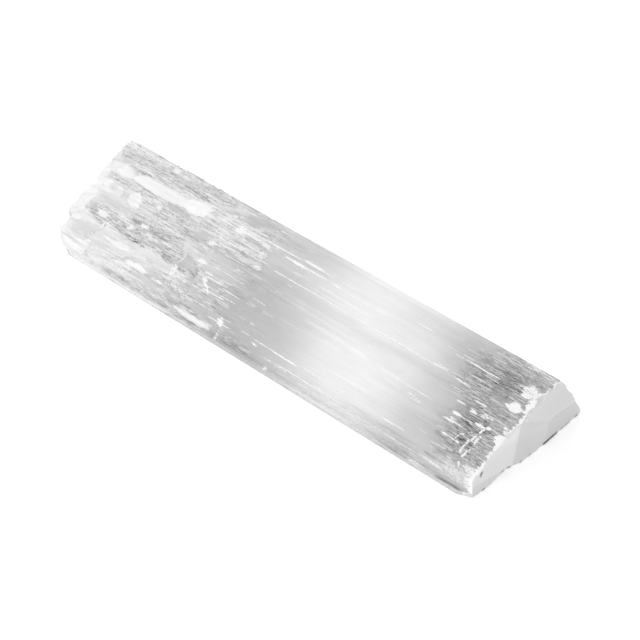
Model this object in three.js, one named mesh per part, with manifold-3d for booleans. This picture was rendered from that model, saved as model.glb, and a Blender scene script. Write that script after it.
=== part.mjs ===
// Selenite wand: a raw stick of satin spar, a fibrous gypsum, split along its fibres.
// Millimetres, +Z up. It lies on its flat cleavage face with the fibres along X.
// The +X end is snapped smooth in a few facets, and the -X end is splintered and stepped.
import * as THREE from 'three';
import { mergeVertices } from 'three/addons/utils/BufferGeometryUtils.js';
import Module from 'manifold-3d';

// Driving dimensions.
const LENGTH = 133;
const WIDTH = 37.6;
const HEIGHT = 14;
const LEDGE_HEIGHT = 1.1; // low ledge along the foot of the front side
const LEDGE_DEPTH = 1.1;
const FRONT_HEIGHT = 4.4; // where the front side meets the sloping top
const CREST_FRONT = 4.8; // the flat crest runs from here to CREST_BACK across the wand
const CREST_BACK = 11.1;
const FIBRE_PITCH = 1.4; // spacing of the coarse fibre bundles around the section
const FIBRE_RELIEF = 0.14; // how far a bundle stands out or sinks in
const STATIONS = 30; // steps along the length

const FRONT = -WIDTH / 2;
const BACK = WIDTH / 2;
const NEAR = LENGTH / 2; // the snapped end
const FAR = -LENGTH / 2; // the splintered end
const OVERSIZE = 4; // blank left at each end for the breaks to remove
const REACH = 80; // size of the blocks that stand for broken-off material
const OVERLAP = 0.05; // neighbouring breaks run into each other by this much

// Corners of the section as [across, up], from the front foot over the top to the back foot.
const SECTION = [
  [FRONT, 0],
  [FRONT + 0.1, LEDGE_HEIGHT - 0.2],
  [FRONT + LEDGE_DEPTH, LEDGE_HEIGHT],
  [FRONT + LEDGE_DEPTH, FRONT_HEIGHT],
  [-14.9, 6.6],
  [-11.8, 8.6],
  [-9.9, 9.1],
  [-5.5, 10.7],
  [-2.4, 11.2],
  [1.2, 12.4],
  [3.2, 13.4],
  [CREST_FRONT, HEIGHT - 0.15],
  [CREST_BACK, HEIGHT - 0.3],
  [11.8, 12.9],
  [16.3, 5.5],
  [BACK - 0.1, 1],
  [BACK, 0],
];

// Facets of the snapped end: a point on each and the way it faces.
const NEAR_FACETS = [
  { point: [NEAR - 1, FRONT + LEDGE_DEPTH, 3], faces: [1, -0.06, 0.05] },
  { point: [NEAR - 0.25, 6.2, 5.8], faces: [1, -0.0065, 0.0425] },
  { point: [NEAR - 0.25, 6.2, 5.8], faces: [1, 0.015, 0.076] },
];

// Chips off the lower edge of the snapped end. What lies beyond every plane of a chip has
// come away: a shallow heel towards the back foot, then an undercut notch in the foot.
const FOOT_CHIPS = [
  [
    { point: [NEAR - 0.25, 6.2, 5.8], faces: [1, 0.04, 0.0425] },
    { point: [NEAR - 0.25, 6.2, 5.8], faces: [1, 0, -0.35] },
  ],
  [
    { point: [NEAR, -7.5, 1.5], faces: [1.5, 0.6, -2.6] },
    { point: [NEAR, -7.5, 1.5], faces: [1.5, -0.6, -2.6] },
  ],
];

// Laths of the splintered end: where each lies across the wand and upwards, where it is
// broken off, and how far the break leans.
const LATHS = [
  { from: -20, to: -14.2, floor: -1, roof: 20, end: FAR + 5.7, lean: 9 },
  { from: -14.2, to: -11.4, floor: -1, roof: 20, end: FAR + 4.0, lean: -5 },
  { from: -11.4, to: -7.2, floor: 5.2, roof: 20, end: FAR + 3.0, lean: 14 },
  { from: -11.4, to: -7.2, floor: -1, roof: 5.2, end: FAR + 1.9, lean: -6 },
  { from: -7.2, to: -2.6, floor: -1, roof: 20, end: FAR + 1.2, lean: 6 },
  { from: -2.6, to: -0.4, floor: -1, roof: 20, end: FAR + 2.8, lean: -8 },
  { from: -0.4, to: 4.4, floor: 7.4, roof: 20, end: FAR + 1.1, lean: 10 },
  { from: -0.4, to: 4.4, floor: -1, roof: 7.4, end: FAR + 0.7, lean: -4 },
  { from: 4.4, to: 9.2, floor: -1, roof: 20, end: FAR + 0.3, lean: -3 },
  { from: 9.2, to: 13.6, floor: 3.6, roof: 20, end: FAR + 0.6, lean: 5 },
  { from: 9.2, to: 13.6, floor: -1, roof: 3.6, end: FAR + 2.2, lean: 12 },
  { from: 13.6, to: 20, floor: -1, roof: 20, end: FAR + 2.4, lean: -10 },
];

// Breaks that take corners off: the front foot of the snapped end, then the splintered end.
const CORNER_BREAKS = [
  { point: [NEAR - 4.1, FRONT + 0.05, 0.6], faces: [0.36, -0.93, 0] },
  { point: [FAR + 6, -17.1, 3], faces: [-0.385, -0.92, -0.03] },
  { point: [FAR + 8.0, -15.8, 6.1], faces: [-0.36, -0.34, 0.8] },
  { point: [FAR + 4.4, -7, 10.2], faces: [-0.3, -0.16, 0.9], to: 4.6 },
  { point: [FAR + 1.2, 16.5, 4], faces: [-0.6, 0.75, 0.1] },
];

// Flakes split off the top: an outline seen from above, and how deep the flake went at its
// splintered end (the first point) and at its tip.
const FLAKES = [
  {
    outline: [[FAR - 3, -17.2], [-46, -17.3], [-39, -16], [-42, -13.4], [-52, -12.3], [FAR - 3, -12.6]],
    depth: 0.95,
    tipDepth: 0.35,
  },
  {
    outline: [[-61, -10.4], [-48, -10.6], [-38.5, -9.6], [-35, -8.2], [-40, -6.6], [-56, -6.9]],
    depth: 0.7,
    tipDepth: 0.4,
  },
  {
    outline: [[FAR - 3, 4.9], [-50, 4.8], [-33, 5.6], [-28, 7.4], [-40, 9], [FAR - 3, 9.6]],
    depth: 0.5,
    tipDepth: 0.15,
  },
  {
    outline: [[-47, -3.4], [-30, -3.8], [-13, -2.8], [-10.6, 0.4], [-14, 2.6], [-36, 2.2], [-49, 0.5]],
    depth: 0.3,
    tipDepth: 0.6,
  },
  {
    outline: [[NEAR + 3, -15.8], [38, -15.5], [6, -14.9], [-4, -14.1], [12, -13.3], [NEAR + 3, -13.6]],
    depth: 0.5,
    tipDepth: 0.2,
  },
];

// Bruised chips along the rim of the snapped end: where each lies across, and its size.
const RIM_CHIPS = [
  { across: -15.2, size: 1.2 },
  { across: -11.6, size: 1.5 },
  { across: -5.8, size: 1.9 },
  { across: 0.4, size: 1.6 },
  { across: 4.6, size: 2.3 },
];

const wasm = await Module();
wasm.setup();

// A closed three.js geometry as a solid that can be joined and cut.
function solidFrom(geometry) {
  const bare = geometry.clone();
  bare.deleteAttribute('normal');
  bare.deleteAttribute('uv');
  const merged = mergeVertices(bare, 1e-4);
  const mesh = new wasm.Mesh({
    numProp: 3,
    vertProperties: new Float32Array(merged.attributes.position.array),
    triVerts: new Uint32Array(merged.index.array),
  });
  return new wasm.Manifold(mesh);
}

// The solid as a flat-shaded three.js geometry.
function geometryFrom(solid) {
  const mesh = solid.getMesh();
  const geometry = new THREE.BufferGeometry();
  geometry.setAttribute('position', new THREE.BufferAttribute(mesh.vertProperties, 3));
  geometry.setIndex(new THREE.BufferAttribute(mesh.triVerts, 1));
  const faceted = geometry.toNonIndexed();
  faceted.computeVertexNormals();
  return faceted;
}

// A box whose rotation is given as angles about X, Y and Z in degrees.
function block(size, centre, degrees = [0, 0, 0]) {
  const radians = degrees.map((angle) => THREE.MathUtils.degToRad(angle));
  const turned = new THREE.Matrix4().makeRotationFromEuler(new THREE.Euler(...radians));
  const box = new THREE.BoxGeometry(...size);
  box.applyMatrix4(turned);
  box.translate(...centre);
  return solidFrom(box);
}

// Everything beyond a plane through the point, on the side that the plane faces, as far as a
// place across the wand.
function beyond({ point, faces, to = REACH }) {
  const outward = new THREE.Vector3(...faces).normalize();
  const turned = new THREE.Quaternion().setFromUnitVectors(new THREE.Vector3(0, 0, 1), outward);
  const box = new THREE.BoxGeometry(REACH, REACH, REACH);
  box.translate(0, 0, REACH / 2);
  box.applyQuaternion(turned);
  box.translate(...point);
  const span = block([4 * REACH, to + REACH, 4 * REACH], [0, (to - REACH) / 2, 0]);
  return solidFrom(box).intersect(span);
}

// The section with its long edges divided at the fibre pitch.
function sectionOutline() {
  const outline = [];
  SECTION.forEach(([across, up], corner) => {
    const [nextAcross, nextUp] = SECTION[(corner + 1) % SECTION.length];
    const edge = Math.hypot(nextAcross - across, nextUp - up);
    const pieces = Math.max(1, Math.round(edge / FIBRE_PITCH));
    for (let piece = 0; piece < pieces; piece += 1) {
      const share = piece / pieces;
      const y = THREE.MathUtils.lerp(across, nextAcross, share);
      const z = THREE.MathUtils.lerp(up, nextUp, share);
      outline.push(new THREE.Vector2(y, z));
    }
  });
  return outline;
}

// How far the fibre bundle at this place stands out of the plain section.
function bundleRelief(x, y, z) {
  const bundle = Math.sin(y * 9.7 + z * 4.3) + 0.6 * Math.sin(y * 3.1 - z * 7.9);
  const drift = 0.5 * Math.sin(x * 0.061 + y * 2.3) + 0.4 * Math.sin(x * 0.143 + z * 3.7);
  return FIBRE_RELIEF * (bundle + drift);
}

// The blank: a long prism of the section with its fibre bundles, flat underneath.
function blank() {
  const shape = new THREE.Shape(sectionOutline());
  const depth = LENGTH + 2 * OVERSIZE;
  const prism = new THREE.ExtrudeGeometry(shape, { depth, steps: STATIONS, bevelEnabled: false });
  const along = new THREE.Vector3(1, 0, 0);
  const across = new THREE.Vector3(0, 1, 0);
  const up = new THREE.Vector3(0, 0, 1);
  prism.applyMatrix4(new THREE.Matrix4().makeBasis(across, up, along));
  prism.translate(FAR - OVERSIZE, 0, 0);
  const position = prism.attributes.position;
  const place = new THREE.Vector3();
  const outward = new THREE.Vector3();
  for (let index = 0; index < position.count; index += 1) {
    place.fromBufferAttribute(position, index);
    outward.set(0, place.y * 0.25, place.z - 1).normalize();
    const settled = THREE.MathUtils.smoothstep(place.z, 0.2, 2.5);
    place.addScaledVector(outward, settled * (bundleRelief(place.x, place.y, place.z) - FIBRE_RELIEF));
    position.setXYZ(index, place.x, place.y, place.z);
  }
  return solidFrom(prism);
}

// Height of the plain section's top at a place across the wand.
function topAt(across) {
  const corner = SECTION.findIndex(([y], index) => index > 2 && y > across);
  const [y0, z0] = SECTION[corner - 1];
  const [y1, z1] = SECTION[corner];
  return THREE.MathUtils.mapLinear(across, y0, y1, z0, z1);
}

// The block of air past a broken lath. Its leaning face passes through the lath's end.
function lathBreak({ from, to, floor, roof, end, lean }) {
  const slant = Math.tan(THREE.MathUtils.degToRad(lean));
  const middle = (floor + roof) / 2;
  const profile = new THREE.Shape([
    new THREE.Vector2(end - REACH, floor),
    new THREE.Vector2(end + slant * (floor - middle), floor),
    new THREE.Vector2(end + slant * (roof - middle), roof),
    new THREE.Vector2(end - REACH, roof),
  ]);
  const depth = to - from + 2 * OVERLAP;
  const air = new THREE.ExtrudeGeometry(profile, { depth, bevelEnabled: false });
  air.rotateX(Math.PI / 2);
  air.translate(0, to + OVERLAP, 0);
  return solidFrom(air);
}

// A flake's solid: its outline raised from a floor that follows the slope of the top.
function flakeSolid({ outline, depth, tipDepth }) {
  const shape = new THREE.Shape(outline.map(([x, y]) => new THREE.Vector2(x, y)));
  const flake = new THREE.ExtrudeGeometry(shape, { depth: HEIGHT, bevelEnabled: false });
  const places = outline.map(([, y]) => y);
  const low = Math.min(...places);
  const high = Math.max(...places);
  const steepness = (topAt(high) - topAt(low)) / (high - low);
  const start = outline[0][0];
  const length = Math.max(...outline.map(([x]) => Math.abs(x - start)));
  const position = flake.attributes.position;
  for (let index = 0; index < position.count; index += 1) {
    const y = position.getY(index);
    const share = Math.abs(position.getX(index) - start) / length;
    const surface = topAt(low) + steepness * (y - low);
    const floor = surface - THREE.MathUtils.lerp(depth, tipDepth, share);
    position.setZ(index, position.getZ(index) + floor);
  }
  return solidFrom(flake);
}

function rimChip({ across, size }) {
  return block([size, size * 1.4, size], [NEAR - 0.3, across, topAt(across) + 0.1], [25, 45, 12]);
}

function footChip(planes) {
  return planes.map(beyond).reduce((one, other) => one.intersect(other));
}

function wandSolid() {
  const breaks = [
    ...NEAR_FACETS.map(beyond),
    ...FOOT_CHIPS.map(footChip),
    ...CORNER_BREAKS.map(beyond),
    ...LATHS.map(lathBreak),
    ...FLAKES.map(flakeSolid),
    ...RIM_CHIPS.map(rimChip),
  ];
  return breaks.reduce((wand, broken) => wand.subtract(broken), blank());
}

// Centred over the origin and standing on z = 0.
function seated(geometry) {
  geometry.computeBoundingBox();
  const centre = geometry.boundingBox.getCenter(new THREE.Vector3());
  geometry.translate(-centre.x, -centre.y, -geometry.boundingBox.min.z);
  return geometry;
}

const selenite = new THREE.MeshStandardMaterial({
  name: 'selenite',
  color: 0xd9d9d7,
  roughness: 0.35,
  metalness: 0,
});

const wand = new THREE.Mesh(seated(geometryFrom(wandSolid())), selenite);
wand.name = 'selenite_wand';

const group = new THREE.Group();
group.add(wand);

export default group;
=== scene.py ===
import math

import bpy
import numpy as np
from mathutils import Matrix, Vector
from mathutils.bvhtree import BVHTree


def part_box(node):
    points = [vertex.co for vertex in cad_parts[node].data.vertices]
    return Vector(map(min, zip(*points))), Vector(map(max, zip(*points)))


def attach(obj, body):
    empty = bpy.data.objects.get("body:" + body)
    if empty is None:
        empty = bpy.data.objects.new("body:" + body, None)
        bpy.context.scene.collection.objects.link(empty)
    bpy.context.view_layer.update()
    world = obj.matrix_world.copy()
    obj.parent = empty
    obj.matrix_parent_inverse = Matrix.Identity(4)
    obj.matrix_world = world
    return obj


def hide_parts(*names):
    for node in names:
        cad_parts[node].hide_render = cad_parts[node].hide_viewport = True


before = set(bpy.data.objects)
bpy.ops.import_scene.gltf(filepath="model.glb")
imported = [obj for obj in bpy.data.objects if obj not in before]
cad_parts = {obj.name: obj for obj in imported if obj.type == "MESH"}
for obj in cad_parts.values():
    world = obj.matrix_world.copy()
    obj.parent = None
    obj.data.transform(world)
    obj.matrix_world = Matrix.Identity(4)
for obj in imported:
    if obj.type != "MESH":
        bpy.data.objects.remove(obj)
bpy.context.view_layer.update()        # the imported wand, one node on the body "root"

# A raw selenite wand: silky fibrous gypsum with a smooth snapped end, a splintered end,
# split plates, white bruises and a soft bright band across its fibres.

MM = 0.001
NODE = "selenite_wand"
LOW, HIGH = (np.array(corner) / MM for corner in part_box(NODE))
FAR_X, NEAR_X = LOW[0], HIGH[0]     # splintered end, snapped end
FRONT_Y, BACK_Y = LOW[1], HIGH[1]
TOP_Z = HIGH[2]

# Cells of the wand's skin across the top and the underside, and up each side.
ACROSS = 184
UP = 26
TOP_FIRST = ACROSS + UP             # the loop's first line on the top, at the crest's back edge
TOP_LAST = TOP_FIRST + ACROSS
LINES = 2 * (ACROSS + UP)           # the whole loop
UNDER, TOP = slice(0, ACROSS + 1), slice(TOP_FIRST, TOP_LAST + 1)

# Where the plain section is read, clear of the bevels and chips of each end.
FAR_SECTION = FAR_X + 9.6
NEAR_SECTION = NEAR_X - 3.2
INSET = 0.25                        # how far under the surface the length of a line is read
CREST_EDGE = 11.6                   # the back edge of the flat crest
TOP_START = 1.55                    # the top begins this far in from the front foot
FOOT_MARGIN = 0.03                  # the underside's lines keep this far in from either foot
NOTCH_Y, NOTCH_HEIGHT = -7.5, 1.33  # the peak of the notch in the snapped end's foot
BODY_TONE = 0.57                    # lightness of the plain body, 0 to 1
SHARP_ANGLE = math.radians(42)      # folds steeper than this are shaded as edges


# ---- noise

def lattice(i, j, seed):
    """A fixed pseudo-random value in -1..1 for each whole-number place."""
    value = np.sin(i * 127.1 + j * 311.7 + seed * 74.7) * 43758.5453
    return 2 * (value - np.floor(value)) - 1


def noise(a, b, seed):
    """Smooth noise in -1..1 over two coordinates, one feature to a unit."""
    i, j = np.floor(a), np.floor(b)
    u, v = a - i, b - j
    u, v = u * u * (3 - 2 * u), v * v * (3 - 2 * v)
    low = lattice(i, j, seed) * (1 - u) + lattice(i + 1, j, seed) * u
    high = lattice(i, j + 1, seed) * (1 - u) + lattice(i + 1, j + 1, seed) * u
    return low * (1 - v) + high * v


def fractal(a, b, seed, octaves=3):
    """Noise with finer and weaker noise laid over it, in -1..1."""
    total, size = 0, 1.0
    for octave in range(octaves):
        total = total + noise(a * 2 ** octave, b * 2 ** octave, seed + octave) * size
        size *= 0.5
    return total / (2 - 2 * size)


def smooth(low, high, value):
    """0 below low, 1 above high, and a smooth rise between."""
    share = np.clip((value - low) / (high - low), 0, 1)
    return share * share * (3 - 2 * share)


# ---- reading the CAD solid

def cad_tree():
    """The CAD solid in mm, ready to be met by rays."""
    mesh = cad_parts[NODE].data
    points = [vertex.co / MM for vertex in mesh.vertices]
    return BVHTree.FromPolygons(points, [tuple(face.vertices) for face in mesh.polygons])


TREE = cad_tree()
FAR_OFF = 60.0                      # rays start this far outside the wand


def hit(start, direction):
    """Where a ray meets the solid, or None."""
    place = TREE.ray_cast(Vector(start), Vector(direction))[0]
    return None if place is None else np.array(place)


def side_point(family, x, y, z):
    """The solid's surface beside a section point, looked for straight across its own side."""
    if family == "under":
        return y, 0.0
    if family == "front":
        found = hit((x, FRONT_Y - FAR_OFF, z), (0, 1, 0))
    elif family == "back":
        found = hit((x, BACK_Y + FAR_OFF, z), (0, -1, 0))
    else:
        found = hit((x, y, TOP_Z + FAR_OFF), (0, 0, -1))
    return None if found is None else (found[1], found[2])


def section_loop():
    """The lines that run along the wand, once around its section: (family, y, z)."""
    loop = []
    top_low, top_high = FRONT_Y + TOP_START, CREST_EDGE
    corner_z = hit((0, top_low, TOP_Z + FAR_OFF), (0, 0, -1))[2]
    crest_z = hit((0, top_high, TOP_Z + FAR_OFF), (0, 0, -1))[2]
    for i in range(ACROSS + 1):
        y = FRONT_Y + FOOT_MARGIN + (BACK_Y - FRONT_Y - 2 * FOOT_MARGIN) * i / ACROSS
        loop.append(("under", y, 0.0))
    for j in range(1, UP):
        loop.append(("back", 0.0, crest_z * (j / UP) ** 0.9))
    for i in range(ACROSS, -1, -1):
        loop.append(("top", top_low + (top_high - top_low) * i / ACROSS, 0.0))
    for j in range(UP - 1, 0, -1):      # close together over the ledge of the front foot
        up = np.interp(j / UP, (0, 0.12, 0.36, 1), (0, 0.86, 1.12, corner_z))
        loop.append(("front", 0.0, up))
    return loop


def settle(loop, x):
    """Each line's place on the section at x."""
    return [side_point(family, x, y, z) for family, y, z in loop]


def inset_place(family, y, z):
    """A point just under the surface there, kept off the sharp foot on either side."""
    dy, dz = {"under": (0, 1), "front": (1, 0.2), "back": (-1.2, 0.1), "top": (0.1, -1)}[family]
    y, z = y + dy * INSET, z + dz * INSET
    return min(max(y, FRONT_Y + INSET), BACK_Y - 2 * INSET), z


def line_ends(loop):
    """How far each line reaches towards both ends, before the bevels and chips."""
    ends = []
    for section_x, side in ((FAR_SECTION, -1), (NEAR_SECTION, 1)):
        reach = []
        for (family, _, _), place in zip(loop, settle(loop, section_x)):
            y, z = inset_place(family, *place)
            reach.append(end_of_solid(y, z, side))
        ends.append(np.array(reach))
    return ends


def end_of_solid(y, z, side):
    """The x at which the solid ends, at a place inside its section."""
    found = hit((side * (NEAR_X + FAR_OFF), y, z), (-side, 0, 0))
    return side * (NEAR_X - 1) if found is None else found[0]


def broken_end(y, z):
    """Where the splintered end lies there, with the ledges between its laths worn to slopes.
    Under the crest they are worn sideways too; a gap as deep as a missing lath stays sharp."""
    under_crest, missing_lath = 8, 2.6
    middle = end_of_solid(y, z, -1)
    shifts = [(0, up) for up in (-0.7, -0.35, 0.35, 0.7)]
    if y > under_crest:
        shifts += [(across, up) for across in (-0.6, -0.3, 0.3, 0.6) for up in (-0.6, 0, 0.6)]
    near = [end_of_solid(y + across, z + up, -1) for across, up in shifts if z + up > 0.05]
    return np.mean([middle] + [x for x in near if abs(x - middle) < missing_lath])


def stations():
    """Shares of the length, from 0 at the splintered end: wide apart only where it is smooth."""
    stretches = ((0, 0.09, 32), (0.09, 0.47, 92), (0.47, 0.89, 36), (0.89, 1, 40))
    shares = [np.linspace(start, end, count)[1:] for start, end, count in stretches]
    return np.concatenate([[0], *shares])


def slipped(last, found, x):
    """Whether a ray near the splintered end passed its own lath and met the next one."""
    gap_between_laths = 1
    return last is not None and x < FAR_SECTION and math.dist(last, found) > gap_between_laths


def sample_ring(loop, far, near):
    """Places on the solid for every line and station: an array of [line, station, xyz].
    Each line is followed from the snapped end, and keeps its last place where a ray misses."""
    shares = stations()
    margin = 0.06
    ring = np.zeros((len(loop), len(shares), 3))
    for r, (family, y, z) in enumerate(loop):
        line = far[r] + (near[r] - far[r]) * shares
        inside = np.clip(line, far[r] + margin, near[r] - margin)
        last = None
        for k in reversed(range(len(line))):
            found = side_point(family, inside[k], y, z)
            if found and not slipped(last, found, line[k]):
                last = found
            ring[r, k] = (line[k], *last)
    return ring


# ---- the wand's own marks
# Places are (x, over): x along the wand and over is the distance in mm from the back edge of
# the crest, over the sloping top and down the front side.

# Plates and scars split along the fibres: outline, how far it stands up, its own lightness,
# how gritty it is, and how white its broken edge is; how far it stands up also sets the painted
# shade around it.
PLATES = [
    # along the crest
    ([(-67, 0.6), (-67, 5), (-61.6, 7.3), (-57, 8.6), (-53.7, 8.7), (-49.2, 8), (-40, 8),
      (-37.5, 6.8), (-33, 5.8), (-28, 3), (-30, 1.2), (-50, 0.5)], 0.2, 0.62, 1, 0),
    ([(-64, 0.5), (-60.8, 1.7), (-56.5, 1.5), (-55.5, 0.6)], 0, 0.72, 0, 0.3),
    ([(-23.8, 3.2), (-22, 2.2), (-18.6, 1.9), (-14, 2.6), (-17.6, 4), (-18.2, 5.6), (-20, 6.2),
      (-22.6, 5)], -0.05, 0.545, 0, 0),
    # pale plates and the dark laths between them
    ([(-67, 5.6), (-62.5, 7.7), (-56.8, 9), (-54.8, 10), (-55.3, 11), (-58, 11.4), (-62.7, 10.3),
      (-67, 10.6)], -0.05, 0.84, 0.15, 0),
    ([(-54.7, 10.2), (-53.9, 9.2), (-51.7, 8.3), (-44, 8.2), (-39.4, 8.5), (-36, 7.7),
      (-32.7, 6.8), (-30.4, 7.7), (-31.7, 10.1), (-35.1, 11.2), (-38, 10.5), (-41.4, 11.2),
      (-46.9, 11.5), (-53.1, 11.1)], -0.15, 0.86, 0, 0.5),
    ([(-65.2, 11.2), (-58.3, 12), (-54.2, 11.6), (-46.6, 11.6), (-41.1, 11.5), (-38, 12.4),
      (-37.9, 14.9), (-42.3, 15.7), (-46.8, 15.1), (-49.9, 13.3), (-53.4, 13.5), (-57.6, 13.8),
      (-63.2, 13.4)], 0.08, 0.64, 1, 0),
    ([(-67, 13.6), (-63, 13.8), (-58, 14), (-55.3, 14.2), (-53.8, 15), (-53.5, 17), (-58, 17.3),
      (-63, 17.9), (-67, 18.2)], -0.08, 0.84, 0.12, 0.3),
    ([(-59, 14.6), (-57.4, 14), (-55.8, 15.3), (-56.8, 16.4)], 0.05, 0.72, 0, 0.2),
    ([(-46, 16.4), (-43, 16.1), (-41.6, 17.1), (-42.5, 18), (-46.2, 17.9)], 0.05, 0.76, 0.2, 0.2),
    ([(-50.2, 13.2), (-52.1, 14.6), (-51.2, 16.3), (-48.8, 17.7), (-46.7, 16.9), (-48.4, 14.5)],
     0.14, 0.9, 0.1, 0.3),
    ([(-42.2, 11.8), (-38, 11.1), (-35, 11.5), (-33, 11.9), (-34, 12.9), (-38, 13), (-41.5, 12.7)],
     -0.05, 0.52, 0.3, 0),
    ([(-66, 18.6), (-62.7, 18.1), (-58.3, 17.5), (-54.7, 18), (-49.3, 18.2), (-47, 18.9),
      (-52.5, 19.7), (-60, 20.3), (-66, 20.6)], 0.05, 0.68, 0.08, 0.2),
    ([(-47, 17.8), (-43, 17.2), (-42.3, 15.9), (-38, 15), (-36, 16.4), (-32, 17.5), (-30.5, 21),
      (-34.6, 19.6), (-40.3, 19.2), (-46, 19.4)], 0.05, 0.68, 1, 0),
    ([(-65, 21), (-62.7, 20.6), (-51.7, 20.3), (-49, 21.2), (-48.5, 22.6), (-51, 24.9),
      (-52.8, 24.9), (-57.6, 23.8), (-62, 22.6), (-65, 22.2)], -0.05, 0.58, 1, 0),
    ([(-67, 21.8), (-62, 22.9), (-52.3, 25.2), (-51, 25.7), (-57, 26.5), (-60.3, 27.5),
      (-67, 26)], 0.08, 0.8, 0.15, 0.3),
    ([(-61.1, 27.4), (-57.2, 26.3), (-50.6, 25.5), (-50.5, 26.3), (-53.7, 28.8), (-56.6, 29.6),
      (-60.5, 29)], 0.12, 0.68, 0, 0.5),
    ([(-51.7, 23.8), (-48.7, 22.5), (-48.2, 20.3), (-46, 19.6), (-40.3, 19.3), (-34.6, 19.7),
      (-29.1, 21), (-27.6, 22), (-28.6, 24.8), (-33.5, 24.2), (-36.1, 24), (-37.4, 25),
      (-43.9, 24.8), (-48.2, 24.3)], -0.15, 0.6, 1, 0),
    ([(-50.3, 26), (-49.5, 25.1), (-41.1, 25.2), (-37.4, 25.1), (-33, 24.6), (-29.2, 25.2),
      (-27.6, 24.8), (-27.2, 26.9), (-30, 27.6), (-33.8, 28.9), (-38, 28.8), (-42.2, 29.6),
      (-49.5, 29.7), (-53.2, 29.1)], 0.1, 0.73, 0.3, 0.4),
    ([(-49, 27), (-43, 26.5), (-37, 26.4), (-34, 26.9), (-40, 27.6), (-46, 27.8)],
     0.06, 0.85, 0.1, 0.2),
    ([(-51.3, 29.9), (-42.2, 29.8), (-38.5, 30.2), (-36, 31.2), (-36, 33.4), (-42, 34),
      (-47, 34.2), (-51.7, 33.4)], 0.05, 0.76, 0.6, 0),
    ([(-40.3, 29.4), (-37.9, 28.9), (-33.8, 28.9), (-32.2, 29.5), (-35.6, 30.1), (-38.5, 30)],
     0.1, 0.87, 0, 0.4),
    ([(-36, 31.4), (-33.3, 30.4), (-28.9, 30.8), (-27.8, 31.4), (-30, 32.3), (-34.3, 31.8)],
     -0.1, 0.62, 0, 0),
    ([(-60, 31), (-55.1, 30.6), (-51.6, 29.7), (-51.7, 32.4), (-53, 35), (-58, 34.6)],
     0.05, 0.88, 0.4, 0.4),
    ([(-47, 34.1), (-41.8, 33.8), (-35.9, 33.2), (-30, 32.6), (-25, 31.8), (-15, 31.5),
      (-10, 31.8), (-9, 33), (-10, 35), (-30, 35.1), (-45, 35.3)],
     -0.12, 0.62, 0.9, 0.2),
    # the little peak and its crumbling foot
    ([(-27.3, 22.5), (-27.1, 20.6), (-26.6, 19.7), (-25, 20.6), (-22.6, 22.4), (-21.3, 23.9),
      (-24, 24.3), (-27.1, 24.8)], 0.3, 0.57, 0.1, 0.2),
    ([(-27.2, 25), (-25, 24.5), (-22.2, 24.4), (-21.2, 25.2), (-22.2, 27), (-26, 27.6)],
     0.12, 0.7, 1, 0.2),
    # thinner plates towards the smooth half
    ([(-31.5, 7.4), (-26.6, 6.3), (-18, 6.1), (-13.2, 6.9), (-10.8, 8), (-11.5, 9.2),
      (-16.3, 8.6), (-19.3, 8.3), (-23, 8.8), (-29.6, 8.5)], 0.08, 0.65, 0.8, 0.2),
    ([(-37.9, 12.6), (-32, 11.6), (-31, 13), (-30.5, 16.4), (-30.5, 20.5), (-36, 16.4)],
     0, 0.62, 0.9, 0),
    ([(-31, 11.3), (-22, 11.2), (-13.5, 11), (-12.3, 10.2), (-10.8, 11), (-9.5, 13.8),
      (-9.5, 15.2), (-12.8, 15.2), (-15.5, 14.9), (-20.5, 14.2), (-25, 13.6), (-30, 13)],
     0.12, 0.64, 0.85, 0.35),
    ([(-30.5, 14.4), (-29.1, 13.3), (-26.6, 13.4), (-26.8, 15.3), (-29.9, 16.3)],
     -0.05, 0.58, 0, 0),
    ([(-20, 15.2), (-15.5, 15.2), (-11.8, 15.8), (-11.5, 16.8), (-14.5, 17), (-19, 16.6)],
     0, 0.58, 0.3, 0),
    # a pale plate low on the front side
    ([(-22.2, 33.3), (-20, 32.8), (-11.2, 32.9), (-11, 34.1), (-14, 34.8), (-19.5, 34.7)],
     0.12, 0.86, 0.1, 0.5),
]

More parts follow.
